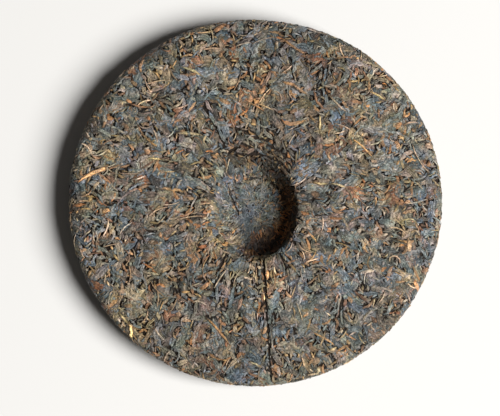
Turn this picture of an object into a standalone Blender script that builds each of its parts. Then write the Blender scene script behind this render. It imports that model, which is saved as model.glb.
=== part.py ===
"""Pu erh tea cake: steamed tea leaf pressed flat in a tied cloth bag under a stone.

The cake lies on its domed front with its back up, so the dimple that the bag's knot left shows in the
middle. The bag's gathers run out of the dimple as shallow pleats, and one straight crease, pressed in by
the bag's seam, runs from the dimple to the rim on the -Y side. The whole cake is one solid.

Units are metres, +Z is up, and the origin is the middle of the spot that the cake rests on.
"""

import math

import bmesh
import bpy
from mathutils import Vector

MM = 0.001

# Overall size: a 357 g cake is about 200 mm across, 25 mm thick in the middle and 12 to 16 mm near the rim.
CAKE_RADIUS = 100 * MM
CAKE_THICKNESS = 25 * MM
RIM_MIDDLE = 12 * MM  # height of the cake's widest line
RIM_TOP = 19 * MM  # height of the back near the rim

# Each face falls to the widest line as (1 - share ** bulge) ** roundness, share running outwards.
BACK_BULGE = 1.9
BACK_ROUNDNESS = 0.37
FRONT_BULGE = 2.6
FRONT_ROUNDNESS = 0.5
REST_RADIUS = 45 * MM  # the flat spot in the middle of the front, underneath

# The dimple in the back: a nearly flat floor, a sloping wall and a rounded lip.
DIMPLE_DEPTH = 14.5 * MM
DIMPLE_FLOOR_RADIUS = 12.5 * MM
DIMPLE_FLOOR_RISE = 0.3 * MM
DIMPLE_LIP_RADIUS = 25.4 * MM
DIMPLE_LIP_CRISPNESS = 1.5  # over 1, the wall is steeper under the lip than at its foot
DIMPLE_CENTRE = Vector((-2.1 * MM, -6.6 * MM))  # the knot was tied a little off the middle
DIMPLE_LONGER = 1.16  # its length along Y over its width
DIMPLE_LEAN = 3.2 * MM  # how far the floor is pushed sideways, which makes one wall the steepest
DIMPLE_STEEPEST = math.radians(-6)  # the direction of that wall

# The gathers of the cloth bag: pleats that spread from the dimple's lip and fade out on the back.
PLEAT_COUNT = 22
PLEAT_DEPTH = 0.75 * MM
PLEAT_START_RADIUS = 17 * MM
PLEAT_FULL_RADIUS = 29 * MM
PLEAT_END_RADIUS = 64 * MM
PLEAT_DEEPEST = math.radians(-95)  # the direction in which the pleats are deepest
PLEAT_CROWDING = 0.08  # how unevenly they are spaced, in radians

# One longer valley that a deeper gather pressed into the back.
VALLEY_ANGLE = math.radians(117)
VALLEY_HALF_ANGLE = math.radians(8)
VALLEY_DEPTH = 1.1 * MM
VALLEY_START_RADIUS = 22 * MM
VALLEY_END_RADIUS = 62 * MM

# The straight crease from the dimple to the rim, a groove with a round bottom.
CREASE_START = Vector((4.0 * MM, -35 * MM))
CREASE_END = Vector((7.8 * MM, -100 * MM))
CREASE_WIDTH = 1.0 * MM
CREASE_DEPTH = 0.8 * MM
CREASE_POINTS = 15
CREASE_WANDER = 0.35 * MM  # how far it strays sideways
CREASE_ON_RIM = 0.985  # the share of the way at which it turns down over the rim
CREASE_LOWEST = 7 * MM  # where it ends, below the widest line

# Unevenness of a hand-filled bag: flats in the outline and low swells in the back.
OUTLINE_FLATS = (  # (direction in degrees, half its width in degrees, depth)
    (82, 26, 0.9 * MM),
    (338, 18, 0.3 * MM),
    (215, 20, 0.3 * MM),
)
SWELL_HEIGHT = 0.3 * MM
SWELL_LENGTH = 62 * MM

# How finely the cake is turned.
SEGMENTS = 128
WALL_STEPS = 9
BACK_STEPS = 12
FRONT_STEPS = 8
CROWDING_AT_RIM = 2.2  # points along a face stand closer together where it curves down at the rim


def smooth_step(low, high, value):
    """0 at low, 1 at high and an even S between them."""
    t = min(max((value - low) / (high - low), 0.0), 1.0)
    return t * t * (3 - 2 * t)


def dimple_points():
    """The profile from the middle of the dimple's floor up its wall to the crisper lip."""
    floor = CAKE_THICKNESS - DIMPLE_DEPTH
    wall_foot = floor + DIMPLE_FLOOR_RISE
    points = [
        (DIMPLE_FLOOR_RADIUS * share, floor + DIMPLE_FLOOR_RISE * share**2)
        for share in (0.0, 0.35, 0.7)
    ]
    for i in range(WALL_STEPS + 1):
        share = i / WALL_STEPS
        radius = DIMPLE_FLOOR_RADIUS + (DIMPLE_LIP_RADIUS - DIMPLE_FLOOR_RADIUS) * share
        risen = smooth_step(0, 1, share**DIMPLE_LIP_CRISPNESS)
        points.append((radius, wall_foot + (CAKE_THICKNESS - wall_foot) * risen))
    return points


def face_points(inner_radius, inner_height, bulge, roundness, steps):
    """A face's profile from inner_radius, left out, to the cake's widest line, well rounded there."""
    points = []
    for i in range(1, steps + 1):
        share = 1 - (1 - i / steps) ** CROWDING_AT_RIM
        height = RIM_MIDDLE + (inner_height - RIM_MIDDLE) * (1 - share**bulge) ** roundness
        points.append((inner_radius + (CAKE_RADIUS - inner_radius) * share, height))
    return points


def cake_profile():
    """Half of the cake's section: dimple, back, rim, front and resting spot."""
    back = face_points(DIMPLE_LIP_RADIUS, CAKE_THICKNESS, BACK_BULGE, BACK_ROUNDNESS, BACK_STEPS)
    front = face_points(REST_RADIUS, 0.0, FRONT_BULGE, FRONT_ROUNDNESS, FRONT_STEPS)
    front_inwards = front[-2::-1]
    return dimple_points() + back + front_inwards + [(REST_RADIUS, 0.0), (0.0, 0.0)]


def turned_blank(name, collection):
    """The cake as if turned on a lathe: its half profile with a Screw modifier, made a mesh."""
    profile = cake_profile()
    mesh = bpy.data.meshes.new(name + "_profile")
    edges = [(i, i + 1) for i in range(len(profile) - 1)]
    mesh.from_pydata([(radius, 0.0, height) for radius, height in profile], edges, [])
    guide = bpy.data.objects.new(name + "_profile", mesh)
    collection.objects.link(guide)
    screw = guide.modifiers.new("turn", "SCREW")
    screw.axis = "Z"
    screw.steps = screw.render_steps = SEGMENTS
    screw.use_merge_vertices = True
    screw.merge_threshold = 0.00005
    graph = bpy.context.evaluated_depsgraph_get()
    turned = bpy.data.meshes.new_from_object(guide.evaluated_get(graph))
    turned.name = name
    bpy.data.objects.remove(guide)
    cake = bpy.data.objects.new(name, turned)
    collection.objects.link(cake)
    return cake


def off_middle(x, y):
    """Carries a point of the turned blank to where the knot lay: off centre, drawn out and leaning."""
    radius = math.hypot(x, y)
    hold = 1 - smooth_step(DIMPLE_LIP_RADIUS, CAKE_RADIUS, radius)
    lean = DIMPLE_LEAN * (1 - smooth_step(DIMPLE_FLOOR_RADIUS, DIMPLE_LIP_RADIUS, radius))
    longer = 1 + (DIMPLE_LONGER - 1) * hold
    return (
        x + DIMPLE_CENTRE.x * hold + lean * math.cos(DIMPLE_STEEPEST),
        y * longer + DIMPLE_CENTRE.y * hold + lean * math.sin(DIMPLE_STEEPEST),
    )


def pleat_depth(radius, angle):
    """How far the bag's gathers press the back in, at a place measured from the dimple's middle."""
    spread = smooth_step(PLEAT_START_RADIUS, PLEAT_FULL_RADIUS, radius)
    spread *= 1 - smooth_step(PLEAT_FULL_RADIUS, PLEAT_END_RADIUS, radius)
    side = 0.55 + 0.3 * math.cos(angle - PLEAT_DEEPEST) + 0.15 * math.cos(5 * angle)
    crowded = angle + PLEAT_CROWDING * math.sin(3 * angle + 0.7)
    wave = 0.5 + 0.5 * math.cos(PLEAT_COUNT * crowded)
    return PLEAT_DEPTH * spread * side * wave


def valley_depth(radius, angle):
    """How far the one deeper gather presses the back in."""
    along = smooth_step(VALLEY_START_RADIUS, DIMPLE_LIP_RADIUS, radius)
    along *= 1 - smooth_step(DIMPLE_LIP_RADIUS, VALLEY_END_RADIUS, radius)
    off_axis = math.remainder(angle - VALLEY_ANGLE, 2 * math.pi) / VALLEY_HALF_ANGLE
    return VALLEY_DEPTH * along * math.exp(-(off_axis**2))


def outline_flat(angle):
    """How far the outline falls inside a true circle in this direction."""
    inside = 0.0
    for middle, half_width, depth in OUTLINE_FLATS:
        away = math.remainder(angle - math.radians(middle), 2 * math.pi)
        inside += depth * (1 - smooth_step(0, math.radians(half_width), abs(away)))
    return inside


def swell(x, y):
    """Low, broad unevenness of the back."""
    turn = 2 * math.pi / SWELL_LENGTH
    return SWELL_HEIGHT * math.sin(turn * x + 0.6) * math.cos(0.8 * turn * y - 0.9)


def pressed_point(x, y, height):
    """Where the bag and the stone leave a point of the turned blank."""
    radius, angle = math.hypot(x, y), math.atan2(y, x)
    in_dimple = radius < DIMPLE_LIP_RADIUS and height > RIM_MIDDLE
    on_back = 1.0 if in_dimple else smooth_step(RIM_MIDDLE, RIM_TOP, height)
    if on_back:
        height += on_back * (swell(x, y) - pleat_depth(radius, angle) - valley_depth(radius, angle))
        x, y = off_middle(x, y)
    at_edge = smooth_step(REST_RADIUS, CAKE_RADIUS, radius)
    shrink = 1 - at_edge * outline_flat(angle) / CAKE_RADIUS
    return x * shrink, y * shrink, height


def press_by_hand(cake):
    """Gives the turned blank the shape that the bag and the stone gave the cake."""
    shape = bmesh.new()
    shape.from_mesh(cake.data)
    for vertex in shape.verts:
        vertex.co = pressed_point(*vertex.co)
    bmesh.ops.recalc_face_normals(shape, faces=shape.faces)
    shape.to_mesh(cake.data)
    shape.free()


def crease_route(cake):
    """The crease's line: out of the dimple, nearly straight over the back, then down over the rim."""
    points = []
    for i in range(CREASE_POINTS):
        share = i / (CREASE_POINTS - 1)
        spot = CREASE_START.lerp(CREASE_END * CREASE_ON_RIM, share)
        spot.x += CREASE_WANDER * math.sin(9 * share) * math.sin(math.pi * share)
        above = Vector((spot.x, spot.y, 2 * CAKE_THICKNESS))
        _, place, _, _ = cake.ray_cast(above, Vector((0, 0, -1)))
        points.append(place)
    points.append(Vector((CREASE_END.x, CREASE_END.y, RIM_MIDDLE)))
    points.append(Vector((CREASE_END.x, CREASE_END.y, CREASE_LOWEST)))
    return points


def crease_cutter(cake, collection):
    """A round bar along the crease's line, made a closed mesh, that cuts the groove."""
    bar_radius = ((CREASE_WIDTH / 2) ** 2 + CREASE_DEPTH**2) / (2 * CREASE_DEPTH)
    curve = bpy.data.curves.new("crease_bar", "CURVE")
    curve.dimensions = "3D"
    curve.bevel_depth = bar_radius
    curve.bevel_resolution = 2
    curve.use_fill_caps = True
    route = crease_route(cake)
    spline = curve.splines.new("POLY")
    spline.points.add(len(route) - 1)
    for point, spot in zip(spline.points, route):
        point.co = (spot.x, spot.y, spot.z + bar_radius - CREASE_DEPTH, 1.0)
    guide = bpy.data.objects.new("crease_guide", curve)
    collection.objects.link(guide)
    graph = bpy.context.evaluated_depsgraph_get()
    mesh = bpy.data.meshes.new_from_object(guide.evaluated_get(graph))
    bpy.data.objects.remove(guide)
    bar = bmesh.new()
    bar.from_mesh(mesh)
    bmesh.ops.remove_doubles(bar, verts=bar.verts, dist=0.00002)
    bmesh.ops.recalc_face_normals(bar, faces=bar.faces)
    bar.to_mesh(mesh)
    bar.free()
    cutter = bpy.data.objects.new("crease_cutter", mesh)
    cutter.hide_render = True
    cutter.display_type = "WIRE"
    collection.objects.link(cutter)
    return cutter


def pressed_tea_material():
    """Dark, dry, slightly waxy leaf."""
    material = bpy.data.materials.new("pressed_tea")
    material.use_nodes = True
    surface = material.node_tree.nodes["Principled BSDF"]
    surface.inputs["Base Color"].default_value = (0.095, 0.08, 0.062, 1.0)
    surface.inputs["Roughness"].default_value = 0.62
    surface.inputs["Metallic"].default_value = 0.0
    return material


def new_collection(name):
    collection = bpy.data.collections.new(name)
    bpy.context.scene.collection.children.link(collection)
    return collection


def main():
    for obj in list(bpy.data.objects):
        bpy.data.objects.remove(obj)
    parts = new_collection("pu_erh_tea_cake")
    cutters = new_collection("cutters")
    cake = turned_blank("tea_cake", parts)
    press_by_hand(cake)
    bpy.context.view_layer.update()
    groove = cake.modifiers.new("crease", "BOOLEAN")
    groove.operation = "DIFFERENCE"
    groove.object = crease_cutter(cake, cutters)
    cake.data.materials.append(pressed_tea_material())
    cake.data.shade_smooth()


main()
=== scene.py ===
import math

import bpy
import numpy as np
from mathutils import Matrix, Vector
from mathutils.bvhtree import BVHTree


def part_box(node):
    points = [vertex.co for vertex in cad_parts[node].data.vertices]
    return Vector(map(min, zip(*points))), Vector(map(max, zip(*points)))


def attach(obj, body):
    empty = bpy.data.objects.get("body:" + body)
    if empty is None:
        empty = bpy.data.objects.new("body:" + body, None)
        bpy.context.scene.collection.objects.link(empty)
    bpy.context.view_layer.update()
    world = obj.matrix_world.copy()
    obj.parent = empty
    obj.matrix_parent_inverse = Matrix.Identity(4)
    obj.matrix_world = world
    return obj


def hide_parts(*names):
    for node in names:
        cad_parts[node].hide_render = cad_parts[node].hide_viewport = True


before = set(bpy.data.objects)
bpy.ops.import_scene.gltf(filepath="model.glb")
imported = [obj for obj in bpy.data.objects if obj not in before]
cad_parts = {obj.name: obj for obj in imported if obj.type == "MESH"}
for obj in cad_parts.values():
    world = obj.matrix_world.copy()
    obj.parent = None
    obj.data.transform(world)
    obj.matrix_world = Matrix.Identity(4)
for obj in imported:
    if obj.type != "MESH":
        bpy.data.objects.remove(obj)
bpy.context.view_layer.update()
low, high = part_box("tea_cake")
cake_width = high.x - low.x
mm = 0.001

# ---------------------------------------------------------------------------
# Camera. The cake lies with its dimpled back up and is looked at from above,
# leaning a little to the side where the crease ends.
lean = math.radians(80)
frame_width = 1.336 * cake_width
camera_data = bpy.data.cameras.new("camera")
camera_data.lens = 180
distance = frame_width * camera_data.lens / camera_data.sensor_width
looked_at = Vector((-2.9 * mm, -4.2 * mm, 0.48 * high.z))
camera = bpy.data.objects.new("camera", camera_data)
camera.location = looked_at + distance * Vector((0, -math.cos(lean), math.sin(lean)))
camera.rotation_euler = (math.pi / 2 - lean, 0, 0)
bpy.context.scene.collection.objects.link(camera)
bpy.context.scene.camera = camera
bpy.context.scene.view_settings.view_transform = "Standard"


# ---------------------------------------------------------------------------
# Studio. A pale floor, a dim pale room and one broad soft lamp on the right,
# which leaves the right wall of the dimple in its own shade.
def soft_lamp(name, turn, height, far, size, watts, tint=(1, 1, 1)):
    lamp_data = bpy.data.lights.new(name, "AREA")
    lamp_data.shape = "DISK"
    lamp_data.size = size
    lamp_data.energy = watts
    lamp_data.color = tint
    lamp = bpy.data.objects.new(name, lamp_data)
    turn, height = math.radians(turn), math.radians(height)
    level = math.cos(height)
    towards = Vector((level * math.cos(turn), level * math.sin(turn), math.sin(height)))
    lamp.location = far * towards
    lamp.rotation_euler = towards.to_track_quat("Z", "Y").to_euler()
    bpy.context.scene.collection.objects.link(lamp)


soft_lamp("key_lamp", turn=-22, height=42, far=5.0, size=3.1, watts=655)

room = bpy.data.worlds.new("pale_room")
room.use_nodes = True
room.node_tree.nodes["Background"].inputs["Color"].default_value = (1.0, 0.97, 0.94, 1)
room.node_tree.nodes["Background"].inputs["Strength"].default_value = 0.06
bpy.context.scene.world = room

floor_material = bpy.data.materials.new("pale_floor")
floor_material.use_nodes = True
floor_surface = floor_material.node_tree.nodes["Principled BSDF"]
floor_surface.inputs["Base Color"].default_value = (0.57, 0.56, 0.54, 1)
floor_surface.inputs["Roughness"].default_value = 0.8
bpy.ops.object.select_all(action="DESELECT")
bpy.ops.mesh.primitive_plane_add(size=6, location=(0, 0, 0))
floor = bpy.context.object
floor.name = "floor"
floor.data.materials.append(floor_material)

# ---------------------------------------------------------------------------
# The bed: broken leaf and dust pressed hard under the leaves that show. It is
# the solid's own form, a leaf's depth smaller all round, with a grainy face. Its
# near-black colour is partly painted shade for the gaps between the leaves.
bed_grain = 1.5 * mm
bed_depth = 0.9 * mm


def only(piece):
    """Selects this piece and nothing else, ready for an operator."""
    bpy.ops.object.select_all(action="DESELECT")
    piece.select_set(True)
    bpy.context.view_layer.objects.active = piece


def finished(piece, kind, name, **settings):
    """Gives the piece a modifier and applies it."""
    only(piece)
    modifier = piece.modifiers.new(name, kind)
    for key, value in settings.items():
        setattr(modifier, key, value)
    bpy.ops.object.modifier_apply(modifier=name)


bed = bpy.data.objects.new("pressed_bed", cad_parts["tea_cake"].data.copy())
bpy.context.scene.collection.objects.link(bed)
only(bed)
bpy.ops.object.mode_set(mode="EDIT")
bpy.ops.mesh.select_all(action="SELECT")
bpy.ops.mesh.remove_doubles(threshold=0.01 * mm)
bpy.ops.object.mode_set(mode="OBJECT")
skin = BVHTree.FromPolygons(
    [v.co.copy() for v in bed.data.vertices], [tuple(p.vertices) for p in bed.data.polygons]
)
finished(bed, "REMESH", "pressed even", mode="VOXEL", voxel_size=bed_grain)
finished(bed, "SMOOTH", "rubbed by the cloth", factor=0.5, iterations=2)
finished(bed, "DISPLACE", "under the leaves", strength=-bed_depth, mid_level=0.0, direction="NORMAL")
dust = bpy.data.textures.new("broken_leaf", "STUCCI")
dust.noise_scale = 1.6 * mm
dust.turbulence = 4
finished(
    bed, "DISPLACE", "broken leaf", texture=dust, texture_coords="LOCAL", strength=0.7 * mm, mid_level=0.8
)
only(bed)
bpy.ops.object.shade_smooth()

bed_material = bpy.data.materials.new("pressed_dust_and_gap_shade")
bed_material.use_nodes = True
nodes, links = bed_material.node_tree.nodes, bed_material.node_tree.links
bed_surface = nodes["Principled BSDF"]
bed_surface.inputs["Roughness"].default_value = 0.85
bed_surface.inputs["Specular IOR Level"].default_value = 0.15
place = nodes.new("ShaderNodeTexCoord")
specks = nodes.new("ShaderNodeTexNoise")
specks.inputs["Scale"].default_value = 1100
specks.inputs["Detail"].default_value = 4
# Near-black: partly the dust's own colour, partly painted shade in the gaps.
tint = nodes.new("ShaderNodeValToRGB")
tint.color_ramp.elements[0].position = 0.35
tint.color_ramp.elements[0].color = (0.008, 0.006, 0.005, 1)
tint.color_ramp.elements[1].position = 0.72
tint.color_ramp.elements[1].color = (0.032, 0.022, 0.015, 1)
grain = nodes.new("ShaderNodeBump")
grain.inputs["Distance"].default_value = 0.25 * mm
links.new(place.outputs["Object"], specks.inputs["Vector"])
links.new(specks.outputs["Fac"], tint.inputs["Fac"])
links.new(tint.outputs["Color"], bed_surface.inputs["Base Color"])
links.new(specks.outputs["Fac"], grain.inputs["Height"])
links.new(grain.outputs["Normal"], bed_surface.inputs["Normal"])
bed.data.materials.clear()
bed.data.materials.append(bed_material)
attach(bed, "root")
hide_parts("tea_cake")

# ---------------------------------------------------------------------------
# Folded leaf: the broad, dark leaves, pressed flat with their edges turned in.
# They are the first to be laid. Each face of the cake is rolled out as a flat
# round sheet, leaves are laid there one on another, and the sheet is put back.
widest_height = 0.48 * high.z
rim_reach = 12 * mm
meridians = 720
along_step = 0.5 * mm
stops = 260
past_rim = 9 * mm
sheet_grain = 0.3 * mm
sheet_reach = 125 * mm
sheet_cells = int(2 * sheet_reach / sheet_grain)
leaf_bed = 0.7 * mm
pressed_flat = 0.72 * mm
crease_filled = 4  # in meridians: leaf half fills what is narrower than this to either side


def meridian(pole, turn, up):
    """Points of the cake's skin from the pole straight out and over the rim, and how far off the rim is."""
    out = np.array((math.cos(turn), math.sin(turn), 0.0))
    upward = np.array((0.0, 0.0, up))
    pole = np.array((*pole, widest_height))
    edge = np.array(skin.ray_cast(Vector(pole + out * cake_width), Vector(-out))[0])
    edge = np.dot(edge - pole, out)
    found = []
    for away in np.linspace(0, edge - rim_reach, 200):
        found.append(skin.ray_cast(Vector(pole + out * away + upward * 0.1), Vector(-upward))[0])
    middle = pole + out * (edge - rim_reach)
    for angle in np.radians(np.arange(4, 156, 4)):
        ray = out * math.sin(angle) + upward * math.cos(angle)
        found.append(skin.ray_cast(Vector(middle + ray * 0.05), Vector(-ray))[0])
    found = np.array(found)
    run = np.concatenate(([0], np.cumsum(np.linalg.norm(np.diff(found, axis=0), axis=1))))
    rim = float(np.interp(0, -up * (found[200:, 2] - widest_height), run[200:]))
    even = np.minimum(np.arange(stops) * along_step, rim + past_rim)
    return np.stack([np.interp(even, run, found[:, axis]) for axis in range(3)], axis=1), rim


def rolled_out(pole, up):
    """One face of the cake as a flat round sheet: where its points lie, which way they face, how high leaves lie."""
    lines = [meridian(pole, 2 * math.pi * i / meridians, up) for i in range(meridians)]
    points = np.array([line[0] for line in lines])
    beside = np.array([np.roll(points[..., 2], i, 0) for i in range(-crease_filled, crease_filled + 1)])
    points[..., 2] = 0.4 * points[..., 2] + 0.6 * np.median(beside, axis=0)
    outward = np.gradient(points, axis=1)
    around = np.roll(points, -1, 0) - np.roll(points, 1, 0)
    facing = np.cross(outward, around) * up
    facing[:, :2] = facing[:, 2:3].mean(0)
    for line in facing:
        last = np.nonzero(np.linalg.norm(line, axis=1))[0][-4]
        line[last:] = line[last]
    facing /= np.linalg.norm(facing, axis=2, keepdims=True)
    level = np.zeros((sheet_cells, sheet_cells), np.float32)
    rim = np.array([line[1] for line in lines])
    return {"points": points, "facing": facing, "rim": rim, "level": level, "pole": pole, "up": up, "gaps": []}


def rolled_back(sheet, x, y, lift):
    """Where points of the flat sheet, lifted off it, lie on the cake."""
    turn = np.arctan2(y, x) / (2 * math.pi) * meridians % meridians
    away = np.minimum(np.hypot(x, y) / along_step, stops - 1.001)
    i, j = turn.astype(int) % meridians, away.astype(int)
    past_i, past_j = (turn - np.floor(turn))[..., None], (away - j)[..., None]
    after = (i + 1) % meridians

    def read(table):
        here = (1 - past_j) * table[i, j] + past_j * table[i, j + 1]
        there = (1 - past_j) * table[after, j] + past_j * table[after, j + 1]
        return (1 - past_i) * here + past_i * there

    facing = read(sheet["facing"])
    facing /= np.linalg.norm(facing, axis=-1, keepdims=True)
    return read(sheet["points"]) + facing * lift[..., None]


def on_sheet(sheet, x, y):
    """Where a place on the cake, as seen from above, lies on the flat sheet."""
    x, y = x - sheet["pole"][0], y - sheet["pole"][1]
    turn = math.atan2(y, x)
    line = sheet["points"][round(turn / (2 * math.pi) * meridians) % meridians]
    away = np.hypot(line[:, 0] - sheet["pole"][0], line[:, 1] - sheet["pole"][1])
    run = np.interp(math.hypot(x, y), np.maximum.accumulate(away), np.arange(stops) * along_step)
    return run * math.cos(turn), run * math.sin(turn)


knot = (0.8 * mm, -4.4 * mm)
back = rolled_out(knot, 1)
front = rolled_out((0.0, 0.0), -1)

# No leaf crosses the crease, nor the short splits that the cloth's gathers left round the dimple.
splits = (  # from, to and half the gap, all in mm
    ((4.1, -34.5), (7.9, -101.0), 0.05),
    ((0.6, -36.0), (1.6, -44.5), 0.1),
    ((13.4, -31.5), (16.2, -39.5), 0.1),
    ((-15.4, -31.5), (-21.0, -42.0), 0.1),
    ((-27.0, 49.0), (-17.0, 28.5), 0.08),
    ((46.0, -55.5), (43.8, -64.0), 0.15),
    ((35.0, 61.0), (36.6, 70.0), 0.15),
    ((-9.5, 23.0), (2.5, 22.8), 0.1),
    ((2.5, 22.8), (12.6, 18.6), 0.16),
    ((12.6, 18.6), (18.8, 12.0), 0.12),
    ((-6.5, 28.5), (-1.5, 26.0), 0.12),
    ((1.0, 31.5), (7.5, 30.0), 0.1),
    ((7.0, 27.5), (13.5, 24.0), 0.12),
    ((16.0, 22.5), (21.0, 17.0), 0.1),
    ((-14.0, 24.5), (-8.0, 26.5), 0.1),
    ((-9.0, 36.5), (-3.0, 34.0), 0.1),
    ((5.5, 37.0), (11.0, 34.5), 0.1),
    ((-14.4, 8.1), (-13.0, 2.6), 0.1),
    ((-13.0, 2.6), (-8.9, -7.5), 0.15),
)
for (x0, y0), (x1, y1), gap in splits:
    start, end = on_sheet(back, x0 * mm, y0 * mm), on_sheet(back, x1 * mm, y1 * mm)
    back["gaps"].append((*start, *end, gap * mm))


def crosses(sheet, x, y, x0, y0):
    """Which points of a leaf lie in a split, or beyond it from the leaf's middle."""
    bad = np.zeros(x.shape, bool)
    for start_x, start_y, end_x, end_y, gap in sheet["gaps"]:
        run = math.hypot(end_x - start_x, end_y - start_y)
        dx, dy = (end_x - start_x) / run, (end_y - start_y) / run
        share = ((x - start_x) * dx + (y - start_y) * dy) / run
        off = (y - start_y) * dx - (x - start_x) * dy
        middle = (y0 - start_y) * dx - (x0 - start_x) * dy
        bad |= (share > -0.01) & (share < 1.01) & ((np.abs(off) < gap) | (off * middle < 0))
    return bad


def beside_split(sheet, x, y, turn):
    """Turns the leaves that lie close beside a split to run along it."""
    for start_x, start_y, end_x, end_y, _ in sheet["gaps"]:
        run = math.hypot(end_x - start_x, end_y - start_y)
        dx, dy = (end_x - start_x) / run, (end_y - start_y) / run
        share = ((x - start_x) * dx + (y - start_y) * dy) / run
        off = np.abs((y - start_y) * dx - (x - start_x) * dy)
        near = (share > -0.02) & (share < 1.02) & (off < split_reach)
        turn = np.where(near, math.atan2(dy, dx) + 0.12 * np.sin(5 * turn), turn)
    return turn


def curved(along, across, bend):
    """Bends a straight leaf sideways to an arc: where a point along and across it then lies."""
    turn = along * bend
    x = along * np.sinc(turn / math.pi) - across * np.sin(turn)
    y = along * turn / 2 * np.sinc(turn / 2 / math.pi) ** 2 + across * np.cos(turn)
    return x, y


def turned(x, y, angle):
    return x * np.cos(angle) - y * np.sin(angle), x * np.sin(angle) + y * np.cos(angle)


def cells(x, y):
    """The cells of a sheet's table of heights in which these points lie."""
    i = ((x + sheet_reach) / sheet_grain).astype(int).clip(0, sheet_cells - 1)
    j = ((y + sheet_reach) / sheet_grain).astype(int).clip(0, sheet_cells - 1)
    return i, j


stations = np.linspace(-0.5, 0.5, 7)
beside = np.array((-0.46, 0.0, 0.46))
fine_along, fine_across = np.meshgrid(np.linspace(-0.5, 0.5, 33), np.linspace(-0.5, 0.5, 10), indexing="ij")
fine_crown = np.sqrt(1 - (2 * fine_across) ** 2) * (1 - np.abs(2 * fine_along) ** 6)
steepest = 0.3
split_reach = 1.9 * mm
dimple_reach = 26 * mm
most_tilt = 0.3


def settled(sheet, leaf, sink):
    """Lets one leaf sink among the leaves under it, and gives its tilt and its height at each station."""
    x0, y0, turn, length, width, depth, bend = leaf
    x, y = turned(*curved(length * stations[:, None], width * beside[None, :], bend), turn)
    heights = sheet["level"][cells(x0 + x, y0 + y)]
    tilt = 0.8 * (heights[:, 2] - heights[:, 0]).mean() / (0.92 * width)
    tilt = min(max(tilt, -most_tilt), most_tilt)
    under = (heights - tilt * width * beside).max(axis=1)
    spacing = length * np.abs(stations[:, None] - stations[None, :])
    under = (under[None, :] - steepest * spacing).max(axis=1) - sink
    under = np.clip(under, 0, pressed_flat - 0.5 * depth)
    x, y = turned(*curved(length * fine_along, width * fine_across, bend), turn)
    top = np.interp(fine_along[:, 0], stations, under)[:, None] + tilt * width * fine_across
    np.maximum.at(sheet["level"], cells(x0 + x, y0 + y), (top + depth * fine_crown).astype(np.float32))
    return (*leaf, tilt, *under)


def lay(sheet, count, seed, length, width, depth, bend, sink=0.16 * mm, tries=7, in_knot=0.14, bare=0.0, side=(-math.pi, math.pi)):
    """Lays leaves one by one, each where the sheet is barest of the places tried.

    Each size is its middle value and its spread. Near the dimple leaves run with the cloth's gathers, out
    from the knot, and are finer. Elsewhere they lie any way."""
    rng = np.random.default_rng(seed)
    laid = []
    while len(laid) < count:
        long, wide, deep, arc = (m * math.exp(rng.normal(0, s)) for m, s in (length, width, depth, bend))
        arc *= rng.choice((-1, 1))
        around = rng.uniform(*side, tries)
        limit = sheet["rim"][(around / (2 * math.pi) * meridians).astype(int) % meridians] + 1.5 * mm
        in_dimple = (sheet["up"] > 0) & (rng.uniform(0, 1, tries) < in_knot)
        away = np.sqrt(rng.uniform(bare**2, 1, tries)) * np.where(in_dimple, dimple_reach, limit)
        x0, y0 = away * np.cos(around), away * np.sin(around)
        pull = (sheet["up"] > 0) * np.interp(away, np.array((0, 12, 26, 40, 56)) * mm, (0.3, 0.85, 0.85, 0.4, 0))
        any_way = rng.uniform(-math.pi, math.pi, tries)
        turn = np.where(rng.uniform(0, 1, tries) < pull, around + rng.normal(0, 0.38, tries), any_way)
        turn = beside_split(sheet, x0, y0, turn)
        fine = np.interp(away, np.array((0, 16, 30)) * mm, (0.5, 0.55, 1.0)) if sheet["up"] > 0 else np.ones(tries)
        along = (fine * long)[:, None, None] * stations[None, :, None]
        across = (fine * wide)[:, None, None] * beside[None, None, :]
        x, y = turned(*curved(along, across, arc / long), turn[:, None, None])
        x, y = x0[:, None, None] + x, y0[:, None, None] + y
        bad = crosses(sheet, x, y, x0[:, None, None], y0[:, None, None]).any(axis=(1, 2))
        k = int((sheet["level"][cells(x, y)].mean(axis=(1, 2)) + bad).argmin())
        if not bad[k]:
            leaf = (x0[k], y0[k], turn[k], fine[k] * long, fine[k] * wide, fine[k] * deep, arc / long)
            laid.append(settled(sheet, leaf, sink))
    return sheet, np.array(laid)


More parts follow.
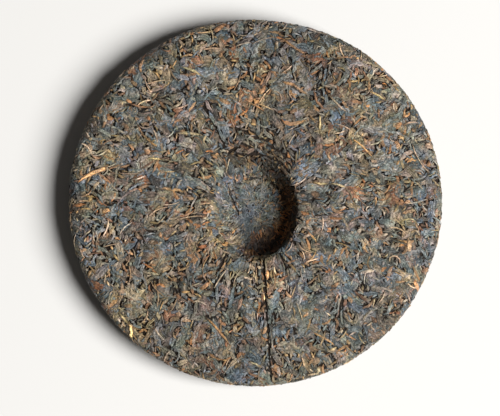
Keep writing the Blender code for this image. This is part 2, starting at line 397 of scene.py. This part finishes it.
def leaf_form(name, section, spans, seed, tip=0.5, full=0.5, twist=0.2, stray=0.14, torn=0.35):
    """Models one leaf of unit length along X: its section drawn out ring by ring, each a little turned and moved."""
    rng = np.random.default_rng(seed)
    bpy.ops.object.select_all(action="DESELECT")
    bpy.ops.mesh.primitive_circle_add(vertices=len(section), radius=1, fill_type="NGON")
    form = bpy.context.object
    form.name = name
    for vertex, (across, up) in zip(form.data.vertices, section):
        vertex.co = (-0.5, across * tip, up * tip)
    round_it = form.data.attributes.new("round", "FLOAT", "POINT")
    top = len(section) - 1
    round_it.data.foreach_set("value", [0.8 * k / (top - 1) for k in range(top)] + [0.9])
    bpy.ops.object.mode_set(mode="EDIT")
    bpy.ops.mesh.select_mode(type="FACE")
    bpy.ops.mesh.select_all(action="SELECT")
    middle, girth, slant = Vector((-0.5, 0, 0)), tip, rng.normal(0, torn)
    bpy.ops.transform.rotate(value=slant, orient_axis="Z", center_override=middle)
    for span in range(1, spans + 1):
        step = Vector((1 / spans, rng.normal(0, stray), rng.normal(0, stray)))
        bpy.ops.mesh.extrude_region_move(TRANSFORM_OT_translate={"value": step})
        middle += step
        next_slant = rng.normal(0, torn) if span == spans else 0.0
        bpy.ops.transform.rotate(value=next_slant - slant, orient_axis="Z", center_override=middle)
        next_girth = tip + (1 - tip) * math.sin(math.pi * span / spans) ** full * rng.uniform(0.7, 1.15)
        wider = next_girth / girth
        bpy.ops.transform.resize(value=(1, wider, wider), center_override=middle)
        bpy.ops.transform.rotate(value=rng.normal(0, twist), orient_axis="X", center_override=middle)
        girth, slant = next_girth, next_slant
    bpy.ops.mesh.select_all(action="SELECT")
    bpy.ops.mesh.normals_make_consistent(inside=False)
    bpy.ops.object.mode_set(mode="OBJECT")
    return form


atlas_columns = 32


# On the dimpled face, patches of the leaf's own uneven tone mixed with painted light and shade:
# paler along the left rim and the top, darker along the bottom and the lower right rim, and darker
# round the dimple's upper lip and on its lower wall and floor, where shade falls. Columns: x, y and
# reach in mm, how pale the leaf is, and its share of gold or, below 0, of the blue-grey of painted sheen.
tone_and_painted_light = (
    (-94, 22, 19, 1.7, 0.35),
    (-93, -27, 17, 1.65, 0.35),
    (-74, 62, 18, 1.5, 0.1),
    (-68, -68, 15, 1.4, 0.45),
    (-50, 30, 12, 1.25, 0.1),
    (-30, 58, 15, 1.3, 0.15),
    (-52, 72, 10, 1.15, 0.1),
    (10, 78, 12, 0.88, 0.0),
    (-30, 91, 14, 1.5, 0.1),
    (-8, 93, 10, 1.35, 0.0),
    (-42, -38, 16, 0.75, 0.0),
    (-48, -72, 12, 0.8, 0.0),
    (-12, -82, 18, 0.8, -0.1),
    (-32, -76, 10, 0.86, 0.0),
    (10, -48, 11, 1.55, 0.25),
    (32, -78, 14, 0.78, -0.1),
    (70, -70, 17, 0.54, 0.0),
    (88, -6, 12, 1.2, 0.1),
    (92, -32, 12, 0.75, 0.0),
    (55, -12, 14, 1.2, 0.0),
    (30, -8, 9, 0.7, 0.0),
    (76, 12, 14, 0.95, -0.3),
    (70, 28, 14, 1.16, 0.0),
    (44, 28, 13, 1.2, 0.3),
    (74, 66, 12, 1.3, 0.1),
    (26, 68, 20, 0.83, -0.3),
    (-12, 72, 13, 0.98, -0.25),
    (-9, 26, 9, 0.8, 0.15),
    (8, 32, 13, 0.74, 0.15),
    (6, 19, 8, 0.4, 0.1),
    (14, 24, 6, 0.7, 0.1),
    (-8, 19, 7, 0.6, 0.0),
    (18, 15, 6, 0.55, 0.0),
    (-27, -10, 9, 1.25, 0.3),
    (-18, -21, 7, 1.35, 0.35),
    (-21, 1, 7, 0.76, 0.0),
    (-32, 8, 8, 1.15, 0.1),
    (-4, -21, 6, 0.7, 0.0),
    (3, -21, 8, 0.32, 0.0),
    (0, -24, 5, 0.3, 0.0),
    (8, -24, 5, 0.45, 0.0),
    (1, -13, 8, 0.72, 0.0),
)


def in_place(sheet, places, rng, pale_in_painted_shade):
    """The two tones of each leaf and how pale it is, which change a little with its place, partly as painted light
    and shade.

    The dimple's floor is the blue-grey of painted sheen, with a little painted shade. Its steep right wall, which
    faces away from the lamp, gets painted shade: darker and a dark red brown."""
    tones = rng.uniform(0, 1, (2, len(places)))
    pale = np.ones(len(places))
    if sheet["up"] > 0:
        chance = rng.uniform(0, 1, (3, len(places)))
        uneven = rng.uniform(0.3, 1.7, len(places))
        # Each patch makes its leaves paler or darker, partly as painted light and shade, and turns some gold or
        # blue-grey.
        for x, y, reach, paler, golden in tone_and_painted_light:
            x, y = on_sheet(sheet, x * mm, y * mm)
            near = np.exp(-(((places[:, 0] - x) ** 2 + (places[:, 1] - y) ** 2) / (reach * mm) ** 2))
            pale *= paler ** (near * uneven)
            tones[0] = np.where(chance[2] < near * golden, 0.84 + 0.16 * tones[0], tones[0])
            tones[0] = np.where(chance[2] < -near * golden, 0.26 + 0.18 * tones[0], tones[0])
        away, around = np.hypot(places[:, 0], places[:, 1]), np.arctan2(places[:, 1], places[:, 0])
        # Leaves on the dimple's floor take the blue-grey of painted sheen and, below, a little painted shade.
        on_floor = chance[0] < np.interp(away, np.array((0, 11, 16)) * mm, (0.93, 0.9, 0))
        # Painted shade: the dimple's steep wall on the lamp's side, which faces away from the lamp.
        right = np.interp(np.cos(around + math.radians(36)), (0.25, 0.5), (0.0, 1.0))
        wall = np.interp(away, np.array((11, 15, 28, 31)) * mm, (0, 1, 1, 0)) * right
        on_shaded_wall = chance[1] < 0.9 * wall
        tones[0] = np.where(on_floor, 0.22 + 0.3 * tones[0], tones[0])
        tones[0] = np.where(on_shaded_wall, 0.695 + 0.03 * tones[0], tones[0])
        # Painted shade on the floor and on that wall; a kind whose paleness in painted shade is above 1 is made paler
        # there.
        pale *= np.where(on_floor, 0.9, 1.0) * (1 - (1 - pale_in_painted_shade) * wall)
    return (*tones, pale)


def spread_leaves(name, forms, laid, seed, pale_in_painted_shade=0.45):
    """One piece of every leaf of a kind: each is a copy of one of the forms, bent and set where it was laid.

    Each leaf has a field of its own on the map, and carries its two tones, half its paleness and its height."""
    rng = np.random.default_rng(seed)
    model = forms[0].data
    shapes = np.array([[v.co for v in form.data.vertices] for form in forms])
    shapes[..., 1] -= shapes[..., 1].mean(axis=1, keepdims=True)
    corners = np.array([i for p in model.polygons for i in p.vertices])
    sizes = np.array([p.loop_total for p in model.polygons])
    face = np.repeat(np.arange(len(sizes)), sizes)
    starts = np.concatenate(([0], np.cumsum(sizes)[:-1]))
    share = ((shapes[0, :, 0] - shapes[0, :, 0].min()) / np.ptp(shapes[0, :, 0])).clip(0, 1)
    round_it = np.empty(len(model.vertices))
    model.attributes["round"].data.foreach_get("value", round_it)
    for form in forms:
        bpy.data.objects.remove(form)

    along, round_it = share[corners], round_it[corners]
    end = (sizes > 4)[face]
    over = (np.maximum.reduceat(round_it, starts) - np.minimum.reduceat(round_it, starts))[face] > 0.5
    circle = 2 * math.pi * round_it
    map_x = 0.08 + 0.84 * along + end * np.where(along < 0.5, -0.045, 0.045) + end * 0.02 * np.cos(circle)
    map_y = np.where(end, 0.5 + 0.3 * np.sin(circle), round_it + (over & (round_it < 0.5)))

    placed, notes = [], []
    for sheet, places in laid:
        which = rng.integers(len(forms), size=len(places))
        x0, y0, turn, length, width, depth, bend, tilt = places.T[:8, :, None]
        shape = shapes[which]
        across = shape[..., 1] * width * sheet["up"]
        x, y = curved(shape[..., 0] * length, across, bend)
        under = np.array([np.interp(s, stations, u) for s, u in zip(shape[..., 0], places[:, 8:])])
        lift = under + shape[..., 2] * depth + tilt * across - leaf_bed
        x, y = turned(x, y, turn)
        placed.append(rolled_back(sheet, x0 + x, y0 + y, lift))
        first, second, pale = (tone[:, None] + np.zeros(shape.shape[1]) for tone in in_place(sheet, places, rng, pale_in_painted_shade))
        notes.append(np.stack([first, second, pale / 2, (shape[..., 2] + 0.6) / 1.6], axis=-1))
    placed, notes = np.concatenate(placed), np.concatenate(notes)
    placed[..., 2] = np.maximum(placed[..., 2], 0)
    count, points = placed.shape[:2]

    mesh = bpy.data.meshes.new(name)
    mesh.vertices.add(count * points)
    mesh.vertices.foreach_set("co", placed.ravel())
    mesh.loops.add(count * len(corners))
    mesh.loops.foreach_set("vertex_index", (corners + points * np.arange(count)[:, None]).ravel())
    mesh.polygons.add(count * len(sizes))
    mesh.polygons.foreach_set("loop_start", (starts + len(corners) * np.arange(count)[:, None]).ravel())
    mesh.update(calc_edges=True)
    rows = math.ceil(count / atlas_columns)
    field = np.arange(count)[:, None]
    map_x = (field % atlas_columns + map_x) / atlas_columns
    map_y = (field // atlas_columns + 0.08 + 0.84 * map_y) / rows
    mesh.uv_layers.new(name="OFBake").uv.foreach_set("vector", np.stack([map_x, map_y], -1).ravel())
    size = np.concatenate([places[:, 3:5] for _, places in laid])[:, None] / mm
    start = rng.uniform(0, 90, (count, 1, 2))
    grain = start + np.stack([size[..., 0] * along, 2.5 * size[..., 1] * round_it], -1)
    mesh.uv_layers.new(name="grain").uv.foreach_set("vector", grain.ravel())
    mesh.attributes.new("leaf", "FLOAT_COLOR", "POINT").data.foreach_set("color", notes.ravel())
    piece = bpy.data.objects.new(name, mesh)
    bpy.context.scene.collection.objects.link(piece)
    only(piece)
    bpy.ops.object.shade_smooth_by_angle(angle=math.radians(65))
    print(name, count, "leaves", sum(sizes - 2) * count, "triangles")
    return piece


def mixed(nodes, links, blend, factor, first, second):
    """Adds a colour mix and returns its result. Each input is a socket or a plain value."""
    mix = nodes.new("ShaderNodeMix")
    mix.data_type = "RGBA"
    mix.blend_type = blend
    for socket, value in ((mix.inputs[0], factor), (mix.inputs[6], first), (mix.inputs[7], second)):
        if isinstance(value, bpy.types.NodeSocket):
            links.new(value, socket)
        else:
            socket.default_value = value
    return mix.outputs[2]


def scaled(nodes, links, socket, low, high, to_low, to_high):
    """Adds a Map Range and returns its result."""
    range_node = nodes.new("ShaderNodeMapRange")
    for name, value in (("From Min", low), ("From Max", high), ("To Min", to_low), ("To Max", to_high)):
        range_node.inputs[name].default_value = value
    links.new(socket, range_node.inputs["Value"])
    return range_node.outputs["Result"]


# Every leaf has the same skin: fibres and folds that run along it, blotches, pale rubbed edges, cool patches of
# painted sheen, and painted shade in its wrinkles and on its low sides.
leaf_skin = bpy.data.node_groups.new("leaf_skin", "ShaderNodeTree")
for name, kind in (("Leaf", "NodeSocketColor"), ("Rubbed Edge", "NodeSocketColor"), ("Fibres", "NodeSocketFloat")):
    leaf_skin.interface.new_socket(name, in_out="INPUT", socket_type=kind)
for name, kind in (("Color", "NodeSocketColor"), ("Roughness", "NodeSocketFloat"), ("Height", "NodeSocketFloat")):
    leaf_skin.interface.new_socket(name, in_out="OUTPUT", socket_type=kind)
nodes, links = leaf_skin.nodes, leaf_skin.links
given, result = nodes.new("NodeGroupInput"), nodes.new("NodeGroupOutput")
mark = nodes.new("ShaderNodeAttribute")
mark.attribute_name = "leaf"
parts = nodes.new("ShaderNodeSeparateColor")
links.new(mark.outputs["Color"], parts.inputs["Color"])
leaf_map = nodes.new("ShaderNodeUVMap")
leaf_map.uv_map = "grain"
along_leaf = nodes.new("ShaderNodeMapping")
along_leaf.inputs["Scale"].default_value = (0.35, 2.6, 1)
links.new(leaf_map.outputs["UV"], along_leaf.inputs["Vector"])
fibres = nodes.new("ShaderNodeTexNoise")
fibres.inputs["Scale"].default_value = 1
fibres.inputs["Detail"].default_value = 3
links.new(along_leaf.outputs["Vector"], fibres.inputs["Vector"])
place = nodes.new("ShaderNodeTexCoord")
blotches = nodes.new("ShaderNodeTexNoise")
blotches.inputs["Scale"].default_value = 420
blotches.inputs["Detail"].default_value = 3
links.new(place.outputs["Object"], blotches.inputs["Vector"])
creases = nodes.new("ShaderNodeTexNoise")
creases.inputs["Scale"].default_value = 900
creases.inputs["Detail"].default_value = 2
creases.inputs["Distortion"].default_value = 0.6
links.new(place.outputs["Object"], creases.inputs["Vector"])
patches = nodes.new("ShaderNodeTexNoise")
patches.inputs["Scale"].default_value = 62
patches.inputs["Detail"].default_value = 2
links.new(place.outputs["Object"], patches.inputs["Vector"])
clumps = nodes.new("ShaderNodeTexNoise")
clumps.inputs["Scale"].default_value = 180
clumps.inputs["Detail"].default_value = 1
links.new(place.outputs["Object"], clumps.inputs["Vector"])
wrinkled_leaf = nodes.new("ShaderNodeMapping")
wrinkled_leaf.inputs["Scale"].default_value = (0.42, 0.46, 1)
links.new(leaf_map.outputs["UV"], wrinkled_leaf.inputs["Vector"])
wrinkles = nodes.new("ShaderNodeTexNoise")
wrinkles.inputs["Scale"].default_value = 1
wrinkles.inputs["Detail"].default_value = 2.5
wrinkles.inputs["Distortion"].default_value = 1.2
links.new(wrinkled_leaf.outputs["Vector"], wrinkles.inputs["Vector"])
off_line = nodes.new("ShaderNodeMath")
off_line.operation = "SUBTRACT"
off_line.inputs[1].default_value = 0.5
links.new(wrinkles.outputs["Fac"], off_line.inputs[0])
from_line = nodes.new("ShaderNodeMath")
from_line.operation = "ABSOLUTE"
links.new(off_line.outputs["Value"], from_line.inputs[0])
# Painted shade: dark lines along the leaf's wrinkles, which the bump below also sinks.
painted_wrinkle_shade = scaled(nodes, links, from_line.outputs["Value"], 0.0, 0.036, 0.1, 1.0)
streak = scaled(nodes, links, fibres.outputs["Fac"], 0.3, 0.7, 0.0, 1.0)
blotch = scaled(nodes, links, blotches.outputs["Fac"], 0.35, 0.65, 0.7, 1.22)
bright = scaled(nodes, links, parts.outputs["Green"], 0.0, 1.0, 0.69, 1.34)
ridge = scaled(nodes, links, mark.outputs["Alpha"], 0.7, 1.1, 0.0, 0.5)
# Painted shade and light by the leaf's own height: its low sides, where it meets the crevices, darkened, and its top
# a little lightened.
painted_shade_by_height = scaled(nodes, links, mark.outputs["Alpha"], 0.35, 0.88, 0.05, 1.26)
dark_streak = mixed(nodes, links, "MIX", streak, (0.55, 0.52, 0.5, 1), (1.35, 1.35, 1.35, 1))
colour = mixed(nodes, links, "MIX", ridge, given.outputs["Leaf"], given.outputs["Rubbed Edge"])
colour = mixed(nodes, links, "MULTIPLY", given.outputs["Fibres"], colour, dark_streak)
colour = mixed(nodes, links, "MULTIPLY", 1.0, colour, blotch)
colour = mixed(nodes, links, "MULTIPLY", 1.0, colour, bright)
# Paleness from the leaf's place, which carries painted light and shade.
colour = mixed(nodes, links, "MULTIPLY", 1.0, colour, scaled(nodes, links, parts.outputs["Blue"], 0.0, 1.0, 0.0, 2.0))
colour = mixed(nodes, links, "MULTIPLY", 1.0, colour, painted_shade_by_height)
# Cooler and warmer patches: the cool blue ones are painted sheen, the warm ones browner leaf.
patch = scaled(nodes, links, patches.outputs["Fac"], 0.35, 0.65, 0.0, 1.0)
patch = mixed(nodes, links, "MIX", patch, (0.79, 0.88, 1.0, 1), (1.23, 1.13, 0.89, 1))
colour = mixed(nodes, links, "MULTIPLY", 1.0, colour, patch)
clump = scaled(nodes, links, clumps.outputs["Fac"], 0.35, 0.65, 0.0, 1.0)
clump = mixed(nodes, links, "MIX", clump, (0.81, 0.87, 0.84, 1), (1.21, 1.13, 1.18, 1))
colour = mixed(nodes, links, "MULTIPLY", 1.0, colour, clump)
colour = mixed(nodes, links, "MULTIPLY", 1.0, colour, painted_wrinkle_shade)
links.new(colour, result.inputs["Color"])
links.new(scaled(nodes, links, blotches.outputs["Fac"], 0.35, 0.65, 0.60, 0.38), result.inputs["Roughness"])
height = nodes.new("ShaderNodeMath")
height.operation = "ADD"
links.new(scaled(nodes, links, fibres.outputs["Fac"], 0.3, 0.7, 0.0, 0.4), height.inputs[0])
links.new(scaled(nodes, links, creases.outputs["Fac"], 0.3, 0.7, 0.0, 1.0), height.inputs[1])
deep = nodes.new("ShaderNodeMath")
deep.operation = "ADD"
links.new(height.outputs["Value"], deep.inputs[0])
links.new(scaled(nodes, links, from_line.outputs["Value"], 0.0, 0.06, -0.8, 0.0), deep.inputs[1])
links.new(deep.outputs["Value"], result.inputs["Height"])


def leaf_material(name, colours, rubbed, fibres=0.6, relief=0.32 * mm, sheen=0.0):
    """A leaf's finish: its colours, with the share of the leaves that each is for, under the common skin."""
    material = bpy.data.materials.new(name)
    material.use_nodes = True
    nodes, links = material.node_tree.nodes, material.node_tree.links
    surface = nodes["Principled BSDF"]
    surface.inputs["Sheen Weight"].default_value = sheen
    surface.inputs["Sheen Roughness"].default_value = 0.4
    surface.inputs["Sheen Tint"].default_value = (0.8, 0.9, 1.0, 1)
    mark = nodes.new("ShaderNodeAttribute")
    mark.attribute_name = "leaf"
    parts = nodes.new("ShaderNodeSeparateColor")
    links.new(mark.outputs["Color"], parts.inputs["Color"])
    ramp = nodes.new("ShaderNodeValToRGB")
    ramp.color_ramp.interpolation = "LINEAR"
    while len(ramp.color_ramp.elements) < len(colours):
        ramp.color_ramp.elements.new(1.0)
    for element, (share, colour) in zip(ramp.color_ramp.elements, colours):
        element.position = share
        element.color = (*colour, 1)
    links.new(parts.outputs["Red"], ramp.inputs["Fac"])
    skin_node = nodes.new("ShaderNodeGroup")
    skin_node.node_tree = leaf_skin
    skin_node.inputs["Rubbed Edge"].default_value = (*rubbed, 1)
    skin_node.inputs["Fibres"].default_value = fibres
    links.new(ramp.outputs["Color"], skin_node.inputs["Leaf"])
    bump = nodes.new("ShaderNodeBump")
    bump.inputs["Distance"].default_value = relief
    links.new(skin_node.outputs["Height"], bump.inputs["Height"])
    links.new(bump.outputs["Normal"], surface.inputs["Normal"])
    links.new(skin_node.outputs["Color"], surface.inputs["Base Color"])
    links.new(skin_node.outputs["Roughness"], surface.inputs["Roughness"])
    return material


def fixed(piece, material):
    piece.data.materials.append(material)
    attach(piece, "root")


broad = ((-0.5, 0.6), (-0.36, 0.95), (-0.2, 0.45), (-0.02, 0.9), (0.16, 0.5), (0.34, 1.0), (0.5, 0.55), (0, -0.6))
forms = [leaf_form("broad", broad, spans=7, seed=1 + i, tip=0.5, full=0.5, stray=0.1) for i in range(7)]
size = {"length": (12.0 * mm, 0.25), "width": (6.4 * mm, 0.25), "depth": (0.4 * mm, 0.15), "bend": (0.3, 0.6)}
over = {"length": (9.5 * mm, 0.28), "width": (4.6 * mm, 0.28), "depth": (0.42 * mm, 0.15), "bend": (0.4, 0.6)}
laid = [lay(back, 330, 5, **size), lay(front, 330, 6, **size)]

folded = ((-0.5, 0.5), (-0.3, 0.95), (-0.06, 0.4), (0.2, 1.0), (0.42, 0.65), (0.5, 0.35), (0, -0.5))
folded_forms = [leaf_form("folded", folded, spans=5, seed=10 + i) for i in range(7)]
size = {"length": (6.6 * mm, 0.35), "width": (2.2 * mm, 0.3), "depth": (0.38 * mm, 0.2), "bend": (0.5, 0.6)}
folded_laid = [lay(back, 620, 21, **size), lay(front, 620, 22, **size)]
laid += [lay(back, 380, 25, **over), lay(front, 380, 26, **over)]
broad_leaf = spread_leaves("broad_leaf", forms, laid, 7)
folded_leaf = spread_leaves("folded_leaf", folded_forms, folded_laid, 23)
dark_finish = leaf_material(
    "dark_leaf",
    (
        (0.0, (0.055, 0.044, 0.034)),
        (0.12, (0.086, 0.082, 0.064)),
        # Teal, blue and green greys: the dark leaf with a painted sheen, its bluish reflection put into its colour.
        (0.24, (0.090, 0.119, 0.126)),
        (0.38, (0.126, 0.156, 0.182)),
        (0.50, (0.161, 0.184, 0.158)),
        (0.61, (0.197, 0.181, 0.178)),
        (0.68, (0.182, 0.132, 0.108)),
        # A dark red brown, used mostly on the dimple's right wall, where it is partly painted shade.
        (0.71, (0.250, 0.098, 0.036)),
        (0.74, (0.182, 0.124, 0.094)),
        (0.86, (0.205, 0.168, 0.098)),
        (1.0, (0.310, 0.262, 0.195)),
    ),
    rubbed=(0.24, 0.19, 0.14),
)
fixed(broad_leaf, dark_finish)
fixed(folded_leaf, dark_finish)

# ---------------------------------------------------------------------------
# Russet leaf: older, coarser leaf and bits of stalk that ripened to a red
# brown. It is scattered all through the dark leaf.
flat = ((-0.5, 0.45), (-0.2, 0.85), (0.25, 0.95), (0.5, 0.5), (0, -0.5))
forms = [leaf_form("russet", flat, spans=5, seed=30 + i) for i in range(5)]
size = {"length": (5.0 * mm, 0.4), "width": (1.7 * mm, 0.3), "depth": (0.4 * mm, 0.2), "bend": (0.6, 0.6)}
laid = [lay(back, 570, 31, **size, in_knot=0.05), lay(front, 570, 32, **size)]
fine = {"length": (6.8 * mm, 0.3), "width": (1.2 * mm, 0.25), "depth": (0.5 * mm, 0.2), "bend": (0.3, 0.6)}
laid.append(lay(back, 150, 34, **fine, in_knot=1, bare=0.52, side=(-1.8, 0.9)))
russet_leaf = spread_leaves("russet_leaf", forms, laid, 33, pale_in_painted_shade=1.1)
russet_finish = leaf_material(
    "russet_leaf",
    (
        (0.0, (0.12, 0.058, 0.030)),
        (0.5, (0.21, 0.115, 0.055)),
        # A strong red brown, used mostly on the dimple's right wall, where it is partly painted shade.
        (0.71, (0.345, 0.134, 0.036)),
        (0.8, (0.28, 0.160, 0.070)),
        (1.0, (0.36, 0.195, 0.085)),
    ),
    rubbed=(0.28, 0.18, 0.10),
)
fixed(russet_leaf, russet_finish)

# ---------------------------------------------------------------------------
# Rolled leaf: narrow dark leaves that were rubbed into twists before they
# were steamed and pressed. They lie over and between the broad ones.
rolled = ((-0.5, 0.15), (-0.28, 0.75), (0.05, 1.0), (0.34, 0.6), (0.5, 0.1), (0, -0.6))
forms = [leaf_form("rolled", rolled, spans=5, seed=50 + i, tip=0.4, twist=0.3) for i in range(6)]
size = {"length": (6.6 * mm, 0.36), "width": (1.2 * mm, 0.25), "depth": (0.42 * mm, 0.2), "bend": (0.8, 0.6)}
laid = [lay(back, 700, 51, **size), lay(front, 700, 52, **size)]
rolled_leaf = spread_leaves("rolled_leaf", forms, laid, 53)
fixed(rolled_leaf, dark_finish)

# ---------------------------------------------------------------------------
# Golden buds: the downy tips of the shoots. They keep their pale gold colour,
# swell in the middle and end in a point.
round_section = ((-0.5, 0.1), (-0.32, 0.7), (0.0, 1.0), (0.32, 0.7), (0.5, 0.1), (0, -0.6))
forms = [leaf_form("bud", round_section, spans=5, seed=70 + i, tip=0.16, full=0.8, twist=0.12) for i in range(5)]
size = {"length": (4.7 * mm, 0.42), "width": (1.35 * mm, 0.25), "depth": (0.45 * mm, 0.2), "bend": (0.6, 0.7)}
laid = [lay(back, 390, 71, **size, sink=0.1 * mm, in_knot=0.03), lay(front, 390, 72, **size, sink=0.1 * mm)]
golden_buds = spread_leaves("golden_buds", forms, laid, 73, pale_in_painted_shade=1.2)
golden_finish = leaf_material(
    "golden_bud",
    (
        (0.0, (0.165, 0.106, 0.044)),
        (0.5, (0.248, 0.164, 0.076)),
        (0.85, (0.335, 0.230, 0.120)),
        (1.0, (0.500, 0.400, 0.250)),
    ),
    rubbed=(0.38, 0.27, 0.14),
    fibres=0.4,
)
fixed(golden_buds, golden_finish)

# ---------------------------------------------------------------------------
# Stems: thin woody stalks, cut square at the ends and a little bent.
stalk = ((-0.5, 0.1), (-0.25, 0.85), (0.25, 0.9), (0.5, 0.1), (0, -0.6))
forms = [leaf_form("stem", stalk, spans=5, seed=90 + i, tip=0.8, full=0.3, twist=0.1, stray=0.03) for i in range(4)]
size = {"length": (8.0 * mm, 0.3), "width": (0.9 * mm, 0.15), "depth": (0.6 * mm, 0.15), "bend": (0.5, 0.8)}
laid = [lay(back, 110, 91, **size, sink=0.12 * mm, in_knot=0), lay(front, 110, 92, **size, sink=0.12 * mm)]
leaf_stems = spread_leaves("leaf_stems", forms, laid, 93)
stem_finish = leaf_material(
    "leaf_stem",
    (
        (0.0, (0.21, 0.125, 0.080)),
        (0.5, (0.33, 0.225, 0.145)),
        (1.0, (0.50, 0.385, 0.270)),
    ),
    rubbed=(0.5, 0.4, 0.28),
    fibres=0.5,
)
fixed(leaf_stems, stem_finish)

# ---------------------------------------------------------------------------
# Broken leaf: short torn bits that fill in between the whole leaves. The
# finest are crumbs, hardly longer than they are wide.
forms = [leaf_form("broken", flat, spans=3, seed=110 + i, tip=0.6, full=0.5, twist=0.35) for i in range(6)]
size = {"length": (2.8 * mm, 0.35), "width": (1.4 * mm, 0.3), "depth": (0.38 * mm, 0.2), "bend": (0.3, 0.6)}
laid = [lay(back, 2700, 111, **size, tries=8), lay(front, 2700, 112, **size, tries=8)]
broken_leaf = spread_leaves("broken_leaf", forms, laid, 113)
fixed(broken_leaf, dark_finish)

forms = [leaf_form("crumb", flat, spans=2, seed=130 + i, tip=0.6, full=0.5, twist=0.5) for i in range(6)]
size = {"length": (1.3 * mm, 0.3), "width": (0.7 * mm, 0.25), "depth": (0.35 * mm, 0.2), "bend": (0.3, 0.6)}
laid = [lay(back, 2400, 131, **size, tries=10, in_knot=0.08), lay(front, 2400, 132, **size, tries=10)]
crumbs = spread_leaves("crumbs", forms, laid, 133)
crumb_finish = leaf_material(
    "crumbs",
    (
        (0.0, (0.06, 0.05, 0.045)),
        (0.5, (0.14, 0.135, 0.12)),
        (0.8, (0.25, 0.150, 0.076)),
        (1.0, (0.40, 0.285, 0.160)),
    ),
    rubbed=(0.24, 0.18, 0.12),
)
fixed(crumbs, crumb_finish)

# ---------------------------------------------------------------------------
# The longest leaves: a few buds and stalks that lie on top of all the others
# and catch the eye. Each is set down where it is listed.
def set_down(sheet, depth, leaves):
    """Lays the listed leaves one by one. Each runs from one place to another as seen from above, with a width and a
    bow, in mm.
    """
    laid = []
    for x0, y0, x1, y1, width, bow in leaves:
        (x0, y0), (x1, y1) = on_sheet(sheet, x0 * mm, y0 * mm), on_sheet(sheet, x1 * mm, y1 * mm)
        long, turn = math.hypot(x1 - x0, y1 - y0), math.atan2(y1 - y0, x1 - x0)
        x, y = turned(0.0, bow * mm, turn)
        leaf = ((x0 + x1) / 2 + x, (y0 + y1) / 2 + y, turn, long, width * mm, depth, -8 * bow * mm / long**2)
        laid.append(settled(sheet, leaf, 0.05 * mm))
    return [(sheet, np.array(laid))]


forms = [leaf_form("tip", round_section, spans=7, seed=150 + i, tip=0.25, full=0.6, twist=0.1) for i in range(4)]
laid = set_down(
    back,
    0.7 * mm,
    (
        (-72.0, -60.5, -66.5, -68.0, 2.2, -0.5),
        (-66.8, -67.5, -65.5, -75.0, 2.0, 0.8),
        (-40.0, 71.5, -27.5, 64.5, 1.9, 0.8),
        (43.5, 71.0, 48.5, 68.0, 1.3, 1.0),
        (34.0, 44.0, 34.2, 35.0, 1.5, 0.3),
        (75.5, -14.0, 88.0, -17.0, 1.3, 4.2),
        (30.0, 7.6, 38.5, 7.0, 1.7, -0.6),
        (39.5, 6.6, 48.5, 4.6, 1.5, 0.8),
        (-35.0, 17.0, -27.5, 18.5, 1.4, 0.4),
        (-58.0, 20.5, -49.5, 20.0, 1.3, 0.2),
        (61.0, 57.5, 70.0, 53.0, 1.2, 0.5),
        (-4.0, -88.0, 3.5, -90.5, 1.2, 0.6),
    ),
)
long_tips = spread_leaves("long_tips", forms, laid, 153)
tip_finish = leaf_material(
    "long_tip",
    (
        (0.0, (0.33, 0.225, 0.092)),
        (1.0, (0.45, 0.335, 0.165)),
    ),
    rubbed=(0.55, 0.45, 0.27),
    fibres=0.4,
)
fixed(long_tips, tip_finish)

forms = [leaf_form("stalk", stalk, spans=7, seed=160 + i, tip=0.7, full=0.3, twist=0.1, stray=0.03) for i in range(4)]
laid = set_down(
    back,
    0.65 * mm,
    (
        (-93.0, 10.5, -80.0, 15.5, 2.5, 0.5),
        (15.0, 86.5, 26.0, 78.5, 1.5, -0.4),
        (-25.3, -65.5, -14.8, -78.0, 1.6, 0.9),
        (14.8, 62.0, 21.0, 60.0, 1.8, 0.5),
        (20.5, 60.3, 26.5, 55.5, 1.6, 0.4),
        (-45.0, -66.0, -40.0, -65.0, 3.0, 0.3),
        (81.6, -22.5, 81.0, -28.8, 2.6, 0.3),
        (52.0, 31.0, 61.5, 22.0, 1.1, 0.6),
        (-60.0, 34.0, -52.5, 27.0, 1.4, -0.5),
        (31.0, -73.0, 40.0, -78.0, 1.3, 0.6),
    ),
)
long_stalks = spread_leaves("long_stalks", forms, laid, 163)
stalk_finish = leaf_material(
    "long_stalk",
    (
        (0.0, (0.30, 0.155, 0.065)),
        (0.6, (0.40, 0.215, 0.085)),
        (1.0, (0.42, 0.29, 0.19)),
    ),
    rubbed=(0.42, 0.28, 0.15),
    fibres=0.6,
)
fixed(long_stalks, stalk_finish)
